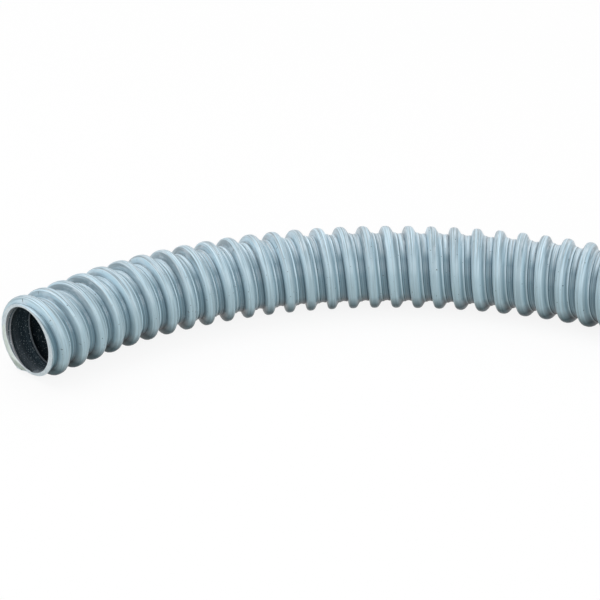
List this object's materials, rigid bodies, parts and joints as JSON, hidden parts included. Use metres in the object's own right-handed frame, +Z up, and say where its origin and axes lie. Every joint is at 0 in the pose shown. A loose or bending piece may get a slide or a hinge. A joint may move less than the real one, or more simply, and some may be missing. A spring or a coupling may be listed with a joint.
{
  "type": "ribbed waste hose",
  "caption": "Length of flexible waste-water hose with a smooth bore and a rigid spiral rib, laid on the floor in one loose loop, both ends cut square.",
  "frame": {"origin": "centre of the open end's bore, at the cut", "axes": "-X points out of the open end's mouth, +Z is up, and the hose lies on the floor, which is below the origin by the hose's radius less its flats"},
  "size_m": [0.469, 0.4569, 0.0355],
  "materials": {
    "wall": "satin",
    "spiral": "satin"
  },
  "bodies": {
    "root": {"wall_open_end": "wall", "wall_run": "wall", "wall_coil": "wall", "wall_far_end": "wall", "spiral_open_end": "spiral", "spiral_run": "spiral", "spiral_coil": "spiral", "spiral_far_end": "spiral"}
  },
  "joints": []
}
